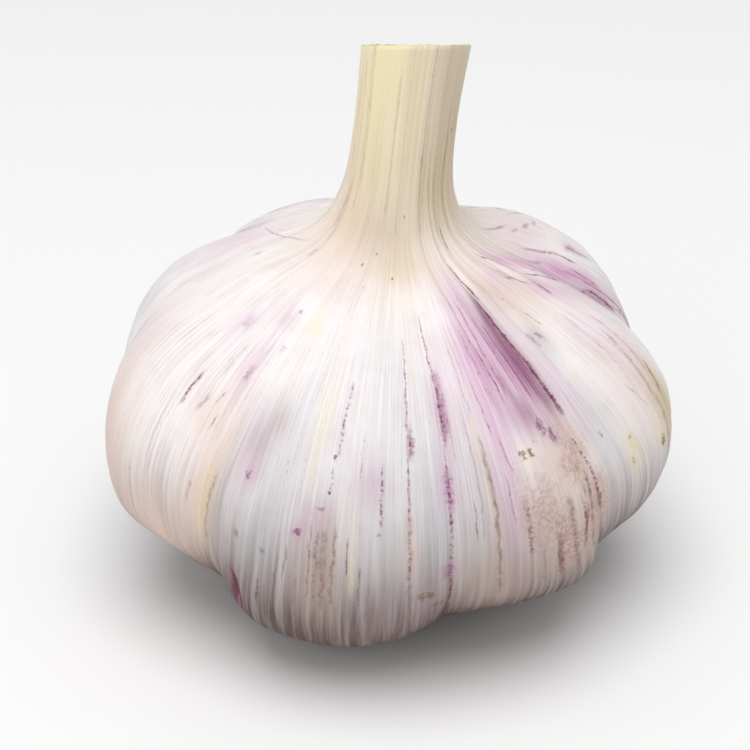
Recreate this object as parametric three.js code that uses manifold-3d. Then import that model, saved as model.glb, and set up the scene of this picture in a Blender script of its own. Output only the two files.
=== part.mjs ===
// Garlic bulb with purple streaks: the swollen wrapper skins with their cut neck, and the root plate.
// Millimetres, +Z up. The origin is the middle of the flat spot it stands on, the front faces -Y.

import * as THREE from 'three';
import { mergeVertices } from 'three/addons/utils/BufferGeometryUtils.js';
import Module from 'manifold-3d';

const wasm = await Module();
wasm.setup();
const { Manifold, Mesh } = wasm;

// Main sizes
const BULB_RADIUS = 30.7;
const WIDEST_HEIGHT = 15.0;
const NECK_RADIUS = 5.35;
const CUT_RADIUS = 5.6;
const CUT_HEIGHT = 61.2;
const CUT_SLOPE = 0.31;
const LEAN_START = 38.0;
const LEAN_RATE = 0.04;
const LEAN_POWER = 1.3;
const VEIN_HEIGHT = 0.12;

// Root plate under the bulb
const RECESS_RADIUS = 8.5;
const RECESS_HEIGHT = 2.4;
const PLATE_GAP = 0.35;
const PLATE_RADIUS = 7.6;
const FLAT_RADIUS = 6.5;
const ROOT_COUNT = 18;
const ROOT_RADIUS = 0.5;
const ROOT_HEIGHT = 0.85;

// How finely the skins are divided
const COLUMNS_PER_CLOVE = 12;
const PLATE_SIDES = 48;

// Side line over a clove's back, as radius and height, from the foot up to the cut end
const SIDE_LINE = [
  [0.0, RECESS_HEIGHT],
  [RECESS_RADIUS, RECESS_HEIGHT],
  [13.0, 0.9],
  [19.5, 1.5],
  [26.4, 6.4],
  [BULB_RADIUS, WIDEST_HEIGHT],
  [30.0, 25.0],
  [25.2, 33.2],
  [17.0, 38.2],
  [9.0, 41.2],
  [6.0, 45.5],
  [NECK_RADIUS, 53.0],
  [CUT_RADIUS, CUT_HEIGHT],
];

// Steps of the cut end from its rim to its middle: share of the radius, and depth below the cut
const CUT_LAYERS = [
  [0.84, 0.0],
  [0.79, 0.35],
  [0.46, 0.35],
  [0.41, 0.05],
  [0.0, 0.0],
];

// Cloves, each with the crease at its start: the crease's turn in degrees, how far it swings at the
// base and at the shoulder, its depth low, midway and high, how rounded its floor is (0 to 1), and
// how far the clove after it swells low, midway and high
const CLOVES = [
  { turn: 16, base: 0, top: -22, depth: [2.2, 1.8, 1.6], soft: 0.2, swell: [0.0, -0.5, 0.5] },
  { turn: 66, base: 0, top: -4, depth: [2.5, 2.0, 1.2], soft: 0.2, swell: [0.0, 0.0, -0.9] },
  { turn: 102, base: 0, top: 0, depth: [2.5, 2.0, 1.4], soft: 0.2, swell: [0.0, 0.0, 0.3] },
  { turn: 139, base: 0, top: 9, depth: [2.5, 2.0, 1.0], soft: 0.2, swell: [0.0, 0.8, 0.1] },
  { turn: 177, base: 0, top: 0, depth: [2.2, 1.8, 0.6], soft: 0.4, swell: [-1.7, 1.3, 0.0] },
  { turn: 231, base: -14, top: 8, depth: [1.9, 2.2, 0.8], soft: 0.45, swell: [0.1, 0.2, 0.0] },
  { turn: 282, base: 3, top: -2, depth: [1.9, 0.5, 0.2], soft: 0.2, swell: [-2.1, 0.0, 0.0] },
  { turn: 319, base: 24, top: -14, depth: [1.0, 2.0, 1.2], soft: 0.2, swell: [-1.9, 0.3, 0.0] },
];

// Small swellings and dips of the grown surface: turn, place along the side line counted in its
// points, how far it spreads round in degrees and along in points, and how far it stands out
const LUMPS = [
  { turn: 197, place: 4.7, round: 9, along: 0.8, out: 0.5 },
  { turn: 211, place: 4.2, round: 9, along: 0.8, out: -0.8 },
  { turn: 241, place: 4.2, round: 9, along: 0.9, out: 1.2 },
  { turn: 291, place: 3.6, round: 10, along: 0.8, out: -0.5 },
  { turn: 313, place: 4.2, round: 9, along: 0.9, out: 1.3 },
  { turn: 352, place: 7.0, round: 9, along: 0.9, out: 0.5 },
  { turn: 25, place: 7.4, round: 12, along: 0.9, out: -0.8 },
  { turn: 45, place: 8.0, round: 12, along: 0.7, out: 0.4 },
];

const COLUMNS = CLOVES.length * COLUMNS_PER_CLOVE;
const SPANS = SIDE_LINE.length - 1;

function smooth(from, to, value) {
  const t = THREE.MathUtils.clamp((value - from) / (to - from), 0, 1);
  return t * t * (3 - 2 * t);
}

// Places of the rings along the side line: close together over the cloves, wider on the neck
function ringPlaces() {
  const places = [0, 1, 1.5];
  for (let place = 2; place <= 9; place += 0.25) {
    places.push(place);
  }
  for (let place = 9.5; place <= SPANS; place += 0.5) {
    places.push(place);
  }
  return places;
}

// How much of the low, middle and high figure counts at a place on the side line
function heightShares(place) {
  return [
    smooth(1, 2.4, place) * (1 - smooth(3.6, 6, place)),
    smooth(3.2, 5.2, place) * (1 - smooth(6, 7.8, place)),
    smooth(5.6, 7.2, place) * (1 - smooth(7.7, 9.2, place)),
  ];
}

function blend(figures, shares) {
  return figures[0] * shares[0] + figures[1] * shares[1] + figures[2] * shares[2];
}

// How far the lumps push a column out at a place, by its turn before any swing
function lumpsAt(turn, place) {
  let out = 0;
  for (const lump of LUMPS) {
    const away = THREE.MathUtils.euclideanModulo(turn - lump.turn + 180, 360) - 180;
    out += lump.out * Math.exp(-((away / lump.round) ** 2) - ((place - lump.place) / lump.along) ** 2);
  }
  return out;
}

// Direction, and distance outside the side line, of one column of the skins at one place
function columnAt(column, place) {
  const count = CLOVES.length;
  const index = Math.floor(column / COLUMNS_PER_CLOVE) % count;
  const t = (column % COLUMNS_PER_CLOVE) / COLUMNS_PER_CLOVE;
  const clove = CLOVES[index];
  const next = CLOVES[(index + 1) % count];
  const before = CLOVES[(index + count - 1) % count];
  const near = t < 0.5 ? clove : next;
  const neighbour = t < 0.5 ? before : next;
  const shares = heightShares(place);
  const edge = Math.abs(2 * t - 1);
  const sharpFloor = edge ** 2.2;
  const roundFloor = edge * edge * (3 - 2 * edge);
  const crease = blend(near.depth, shares) * THREE.MathUtils.lerp(sharpFloor, roundFloor, near.soft);
  const swell = THREE.MathUtils.lerp(
    blend(clove.swell, shares),
    blend(neighbour.swell, shares),
    0.5 * edge * edge,
  );
  const vein = (column % 2) * VEIN_HEIGHT * smooth(2, 4, place) * (1 - 0.5 * smooth(7, 9, place));
  const baseSwing = THREE.MathUtils.lerp(clove.base, next.base, t) * (1 - smooth(2.6, 5.4, place));
  const topSwing = THREE.MathUtils.lerp(clove.top, next.top, t) * smooth(4.6, 8, place);
  const span = (next.turn - clove.turn + 360) % 360;
  const turn = clove.turn + span * t;
  const reach = swell - crease + vein + lumpsAt(turn, place);
  return { turn: THREE.MathUtils.degToRad(turn + baseSwing + topSwing), reach };
}

// Skins and neck: a turned form whose columns are swung and pushed in and out into cloves
function bulbGeometry() {
  const line = new THREE.SplineCurve(SIDE_LINE.map(([r, z]) => new THREE.Vector2(r, z)));
  const places = ringPlaces();
  const points = places.map((place) => line.getPoint(place / SPANS));
  const normals = places.map((place) => {
    const tangent = line.getTangent(place / SPANS);
    return new THREE.Vector2(tangent.y, -tangent.x);
  });
  for (const [share, drop] of CUT_LAYERS) {
    places.push(SPANS);
    points.push(new THREE.Vector2(CUT_RADIUS * share, CUT_HEIGHT - drop));
    normals.push(new THREE.Vector2(0, 0));
  }
  const geometry = new THREE.LatheGeometry(points, COLUMNS);
  const position = geometry.attributes.position;
  for (let i = 0; i <= COLUMNS; i += 1) {
    for (let j = 0; j < points.length; j += 1) {
      const { turn, reach } = columnAt(i % COLUMNS, places[j]);
      const pushed = j === 0 ? 0 : reach;
      const radius = points[j].x + pushed * normals[j].x;
      const height = points[j].y + pushed * normals[j].y;
      const lean = LEAN_RATE * Math.max(height - LEAN_START, 0) ** LEAN_POWER;
      const x = radius * Math.cos(turn) + lean;
      const y = radius * Math.sin(turn);
      const slant = -CUT_SLOPE * y * smooth(10, SPANS, places[j]);
      position.setXYZ(i * points.length + j, x, y, height + slant);
    }
  }
  return closed(geometry);
}

// Joins doubled corners, and drops the flat triangles left at the poles
function closed(source) {
  source.deleteAttribute('normal');
  source.deleteAttribute('uv');
  const geometry = mergeVertices(source, 1e-3);
  const corners = geometry.index.array;
  const kept = [];
  for (let i = 0; i < corners.length; i += 3) {
    const [a, b, c] = [corners[i], corners[i + 1], corners[i + 2]];
    if (a !== b && b !== c && c !== a) {
      kept.push(a, b, c);
    }
  }
  geometry.setIndex(kept);
  geometry.computeVertexNormals();
  return geometry;
}

function solid(source) {
  const geometry = closed(source);
  return new Manifold(new Mesh({
    numProp: 3,
    vertProperties: new Float32Array(geometry.attributes.position.array),
    triVerts: new Uint32Array(geometry.index.array),
  }));
}

function fromSolid(body) {
  const mesh = body.getMesh();
  const geometry = new THREE.BufferGeometry();
  geometry.setAttribute('position', new THREE.BufferAttribute(mesh.vertProperties, 3));
  geometry.setIndex(Array.from(mesh.triVerts));
  return closed(geometry);
}

// Corky disc with a flat underside and rounded rim
function plateDisc() {
  const top = RECESS_HEIGHT - PLATE_GAP;
  const profile = [
    [0, 0],
    [FLAT_RADIUS, 0],
    [PLATE_RADIUS - 0.4, 0.25],
    [PLATE_RADIUS, 0.9],
    [PLATE_RADIUS - 0.3, top - 0.4],
    [PLATE_RADIUS - 1, top],
    [0, top],
  ];
  const disc = new THREE.LatheGeometry(profile.map(([r, z]) => new THREE.Vector2(r, z)), PLATE_SIDES);
  return disc.rotateX(Math.PI / 2);
}

// One trimmed root, sunk well into the rim of the disc and pointing outwards
function rootStub(index) {
  const turn = (index / ROOT_COUNT) * 2 * Math.PI + 0.09 * Math.sin(index * 2.3);
  const reach = 9.2 + 0.6 * Math.sin(index * 1.7);
  const start = PLATE_RADIUS - 2;
  const length = reach - start;
  const stub = new THREE.CylinderGeometry(ROOT_RADIUS * 0.75, ROOT_RADIUS, length, 8);
  stub.rotateZ(-Math.PI / 2);
  stub.translate(start + length / 2, 0, ROOT_HEIGHT);
  return stub.rotateZ(turn);
}

function rootPlateGeometry() {
  let body = solid(plateDisc());
  for (let index = 0; index < ROOT_COUNT; index += 1) {
    body = body.add(solid(rootStub(index)));
  }
  return fromSolid(body);
}

function skinMaterial() {
  return new THREE.MeshStandardMaterial({ color: 0xe6dcd8, roughness: 0.55, metalness: 0 });
}

function rootMaterial() {
  return new THREE.MeshStandardMaterial({ color: 0x9b7c5c, roughness: 0.9, metalness: 0 });
}

function named(name, geometry, material) {
  const mesh = new THREE.Mesh(geometry, material);
  mesh.name = name;
  return mesh;
}

const group = new THREE.Group();
group.name = 'garlic_bulb';
group.add(named('bulb', bulbGeometry(), skinMaterial()));
group.add(named('root_plate', rootPlateGeometry(), rootMaterial()));

export default group;
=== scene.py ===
import math
from collections import namedtuple

import bmesh
import bpy
import numpy as np
from bpy.props import FloatProperty, FloatVectorProperty, IntProperty, PointerProperty
from mathutils import Matrix, Vector


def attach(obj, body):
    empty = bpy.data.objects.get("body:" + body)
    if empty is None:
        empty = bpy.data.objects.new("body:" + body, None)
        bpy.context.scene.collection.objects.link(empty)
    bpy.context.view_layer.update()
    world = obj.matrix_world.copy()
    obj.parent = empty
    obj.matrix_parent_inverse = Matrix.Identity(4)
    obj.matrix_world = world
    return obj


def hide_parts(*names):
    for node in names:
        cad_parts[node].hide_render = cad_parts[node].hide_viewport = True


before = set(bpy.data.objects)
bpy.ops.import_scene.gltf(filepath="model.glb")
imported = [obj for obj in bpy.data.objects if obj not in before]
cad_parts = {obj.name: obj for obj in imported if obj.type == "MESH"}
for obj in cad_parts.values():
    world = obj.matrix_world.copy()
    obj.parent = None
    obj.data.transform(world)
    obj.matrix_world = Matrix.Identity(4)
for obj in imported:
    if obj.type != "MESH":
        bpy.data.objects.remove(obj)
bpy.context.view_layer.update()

bl_info = {
    "name": "Garlic bulb",
    "version": (1, 0, 0),
    "blender": (4, 5, 0),
    "location": "View3D > Sidebar > Garlic",
    "description": "Papery skins, cut neck and root plate of a purple streaked garlic bulb",
    "category": "Add Mesh",
}

MM = 0.001

# Side line over a clove's back, as radius and height in millimetres, from the foot to the cut end
SIDE_LINE = np.array(
    [
        (0, 2.4), (8.5, 2.4), (13, 0.9), (19.5, 1.5), (26.4, 6.4), (30.7, 15), (30, 25), (25.2, 33.2),
        (17, 38.2), (9, 41.2), (6, 45.5), (5.35, 53), (5.6, 61.2),
    ]
)
LAST_PLACE = len(SIDE_LINE) - 1

# Slope of the cut end, and how the neck leans above a height in millimetres
CUT_SLOPE = 0.31
LEAN_START = 38.0
LEAN_RATE = 0.04
LEAN_POWER = 1.3

# Cut end from its rim to its middle: share of the radius, and depth below the cut in millimetres
CUT_STEPS = (
    (0.97, -0.05), (0.92, 0.02), (0.87, 0), (0.84, 0.05), (0.82, 0.3), (0.79, 0.38), (0.72, 0.3),
    (0.65, 0.38), (0.57, 0.28), (0.5, 0.36), (0.46, 0.33), (0.44, 0.12), (0.41, 0.05), (0.32, 0.12),
    (0.22, 0.04), (0.12, 0.1), (0, 0.06),
)

Clove = namedtuple("Clove", "turn base top depth soft swell")
Streak = namedtuple("Streak", "turn low high width broken strength drift", defaults=(0,))
Spot = namedtuple("Spot", "turn rise round along strength")

# Cloves, each with the crease at its start, as the solid has them
CLOVES = (
    Clove(16, 0, -22, (2.2, 1.8, 1.6), 0.2, (0.0, -0.5, 0.5)),
    Clove(66, 0, -4, (2.5, 2.0, 1.2), 0.2, (0.0, 0.0, -0.9)),
    Clove(102, 0, 0, (2.5, 2.0, 1.4), 0.2, (0.0, 0.0, 0.3)),
    Clove(139, 0, 9, (2.5, 2.0, 1.0), 0.2, (0.0, 0.8, 0.1)),
    Clove(177, 0, 0, (2.2, 1.8, 0.6), 0.4, (-1.7, 1.3, 0.0)),
    Clove(231, -14, 8, (1.9, 2.2, 0.8), 0.45, (0.1, 0.2, 0.0)),
    Clove(282, 3, -2, (1.9, 0.5, 0.2), 0.2, (-2.1, 0.0, 0.0)),
    Clove(319, 24, -14, (1.0, 2.0, 1.2), 0.2, (-1.9, 0.3, 0.0)),
)

# Lumps: turn, place on the side line, half width, half length, and how far it stands out
LUMPS = (
    (197, 4.7, 9, 0.8, 0.5), (211, 4.2, 9, 0.8, -0.8), (241, 4.2, 9, 0.9, 1.2),
    (291, 3.6, 10, 0.8, -0.5), (313, 4.2, 9, 0.9, 1.3), (352, 7, 9, 0.9, 0.5), (25, 7.4, 12, 0.9, -0.8),
    (45, 8, 12, 0.7, 0.4),
)

# Narrow tucks where one skin dips under another: turn, drift in degrees a millimetre, lowest and
# highest rise, half width in degrees, and depth in millimetres
GROOVES = (
    (320.5, -0.15, 66, 79, 1, 0.22), (281.6, 0, 27, 42, 1.3, 0.5), (238.3, -0.3, 30, 38, 1.3, 0.8),
    (16.5, 0, 54, 68, 1.4, 0.35), (300.5, -0.1, 62, 74, 0.8, 0.12), (273, 0, 30, 66, 0.7, 0.08),
    (249.7, 0, 37, 45, 0.7, 0.12), (66, 0, 48, 70, 1.5, 0.3), (139, 0, 44, 68, 1.5, 0.3),
)

# Soft zones of colour: turn in degrees, rise along the side line in millimetres, half width in
# degrees, half length in millimetres, and strength
ZONES = {
    "lilac": (
        (300, 62, 5, 6, 0.8), (308, 62, 5, 6.5, 0.85), (314, 60.5, 5, 5.5, 0.85),
        (303, 56.5, 4, 2.5, 0.5), (294, 62, 4, 5, 0.45), (299, 70, 3, 4, 0.35), (307, 69, 5, 4, 0.5),
        (312, 73, 4, 3, 0.3), (235.5, 53, 3.5, 3.5, 0.15), (238.5, 49.5, 2.8, 1.6, 0.32),
        (265, 51, 3.5, 2.2, 0.3), (350, 67.5, 6, 2, 0.45), (345, 60, 10, 6, 0.2), (332, 70, 8, 4, 0.2),
        (355, 72.5, 5, 1.6, 0.5), (1, 71, 5, 1.6, 0.7), (8, 69.4, 5, 1.8, 0.8), (14, 67.6, 5, 2, 0.8),
        (20, 65.6, 4.5, 2.2, 0.8), (22.5, 62.5, 3.6, 2.6, 0.75), (20.5, 59.5, 2.6, 2.4, 0.6),
        (34, 71, 9, 3, 0.22), (33, 63, 3, 1.5, 0.4), (20, 70.5, 16, 3.5, 0.22),
        (352, 73.5, 9, 2.4, 0.3), (338, 71, 6, 3, 0.2), (324, 58, 2.6, 6, 0.28), (10, 62, 7, 4, 0.35),
        (358, 65.5, 8, 2.5, 0.35), (22, 53, 5, 5, 0.3), (165, 68, 14, 6, 0.3), (216, 64.5, 4, 2, 0.3),
        (226, 60, 3, 3, 0.35), (226, 66.5, 3, 1.5, 0.3), (282.3, 59, 2.4, 5, 0.5),
        (281.2, 50, 2.2, 3, 0.5), (281, 41, 2.5, 1.4, 0.35), (254.5, 47, 3.5, 1.4, 0.25),
        (251.5, 45.2, 1.6, 1, 0.45), (294, 49, 4, 8, 0.3), (296, 55, 3, 5, 0.4), (287, 60, 3, 7, 0.2),
        (92, 58, 9, 9, 0.4), (118, 66, 8, 5, 0.5), (74, 54, 6, 9, 0.45), (150, 50, 7, 8, 0.35),
        (190, 56, 6, 6, 0.2),
    ),
    "plum": (
        (318.9, 62, 2.4, 5.4, 0.9), (315.8, 61.5, 3, 5, 0.8), (313, 62.5, 3, 5.5, 0.45),
        (317.6, 67.2, 3.4, 3.2, 0.9), (319.2, 69.6, 2, 2.4, 0.6), (318.6, 56.8, 2.2, 1.8, 0.5),
        (306.5, 56.2, 2.2, 1.6, 0.4), (304.5, 59, 1.4, 2.4, 0.4), (301, 61, 1.4, 2.2, 0.3),
        (282, 57.5, 1.1, 2.8, 0.45), (137, 60, 2.2, 7, 0.6), (65, 60, 2.2, 6, 0.5),
        (103, 64, 2, 4, 0.4), (238.5, 34, 2, 3.6, 0.6), (17.6, 60.6, 1.5, 4.2, 0.65),
        (9.5, 67.2, 4.5, 1, 0.5),
    ),
    "stain": (
        (314, 49.5, 5.5, 4, 0.8), (308, 50, 5, 3.5, 0.75), (303, 45, 6, 4, 0.5), (314, 42, 6, 5, 0.7),
        (306, 40, 6, 4, 0.5), (298, 46, 2.4, 5, 0.4), (319, 45, 2.5, 6, 0.6), (120, 46, 10, 8, 0.5),
    ),
    "straw": (
        (235, 96, 62, 11, 1), (243, 86, 50, 6, 0.55), (287, 95, 14, 12, 0.5), (237, 67, 3.5, 1.8, 0.5),
        (348.5, 48.5, 4.5, 4.5, 0.3), (342, 46.5, 2.4, 2.6, 0.6), (338, 58, 1.6, 4, 0.25),
        (268, 72, 14, 4, 0.12), (331.2, 47, 2.6, 3, 0.35), (90, 92, 70, 14, 0.7),
        (160, 94, 50, 12, 0.8), (262.4, 43, 0.9, 4.5, 0.15), (252.5, 56, 2.4, 5, 0.22),
        (228.5, 45, 1.6, 6, 0.25), (301.3, 52, 1.8, 1, 0.5),
    ),
    # Grey-brown, partly the neck's own colour and partly painted shade on its right side, in the creases
    # and at the neck's foot
    "taupe_and_shade": (
        (325, 94, 36, 12, 0.8), (318, 84, 34, 6, 0.85), (291, 38, 9, 5, 0.4), (272, 92, 11, 16, 0.3),
        (262, 80, 40, 4, 0.3), (236, 85, 24, 6, 0.28), (348.5, 49, 4.5, 5.5, 0.85),
        (270, 76, 18, 3, 0.25), (229.5, 46, 1.6, 7, 0.4), (341, 68, 10, 4, 0.3), (333, 66, 4, 3, 0.3),
        (328, 71, 4, 4, 0.3), (0, 88, 30, 14, 0.8), (275, 76.5, 34, 2.6, 0.4),
        (256.5, 41, 3.4, 5.5, 0.55), (290.8, 46, 1.2, 9, 0.45), (60, 86, 30, 12, 0.5),
    ),
    "peach": (
        (207, 85, 22, 7, 0.7), (225, 79, 44, 4, 0.7), (233, 73, 24, 3, 0.3), (200, 44, 9, 8, 0.75),
        (216, 38, 11, 6, 0.8), (227, 46, 3.5, 9, 0.7), (223, 54, 4, 3, 0.45), (197, 52, 5, 7, 0.4),
        (341, 52, 8, 6, 0.35), (348, 49, 5, 5, 0.4), (273.2, 44, 1.2, 3.5, 0.6), (329, 70, 9, 3, 0.4),
        (290, 75, 25, 3, 0.35), (318, 53, 1.6, 4, 0.6),
    ),
    # Greyish mauve, partly the skin's own tint and partly painted shade beside the creases and low on
    # the lobes
    "mauve_and_shade": (
        (237, 53, 3.6, 4.2, 0.55), (241.5, 55.5, 3, 2.2, 0.35), (255.5, 41.5, 4.2, 5.2, 0.6),
        (306.5, 55.2, 4.5, 2, 0.65), (312, 53, 3, 1.6, 0.35), (300, 44, 2.4, 3, 0.35),
        (329.5, 63.5, 2.6, 1.6, 0.4), (324.5, 67, 2.8, 7, 0.42), (265.5, 50, 4, 2.6, 0.2),
        (289, 50, 5, 8, 0.22), (309, 39, 8, 5, 0.5), (248, 79, 34, 3, 0.2), (291, 38, 8, 6, 0.55),
        (276.5, 37.5, 3.4, 2.2, 0.4), (303, 44, 2, 4, 0.35), (274, 33, 20, 5, 0.3),
        (232, 45, 2, 8, 0.3), (88, 44, 6, 6, 0.4), (148, 46, 5, 5, 0.4), (40, 46, 5, 6, 0.35),
    ),
    # Bluish grey, partly the skin's own tint and partly painted shade on the front faces
    "cool_and_shade": (
        (268, 49, 26, 12, 0.42), (267, 64, 14, 6, 0.25), (246, 52, 7, 7, 0.5), (243, 43, 6, 5, 0.6),
        (278, 47, 3.5, 8, 0.6), (270, 55, 6, 8, 0.25), (285, 48, 4, 8, 0.5), (301, 56, 2.4, 2, 0.5),
        (326, 52, 6, 7, 0.55), (329, 62, 4, 2, 0.5), (232, 47, 3, 8, 0.5), (205, 60, 10, 6, 0.1),
        (30, 50, 16, 10, 0.4), (85, 50, 14, 10, 0.4), (125, 56, 14, 8, 0.4), (160, 52, 14, 8, 0.4),
    ),
}

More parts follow.
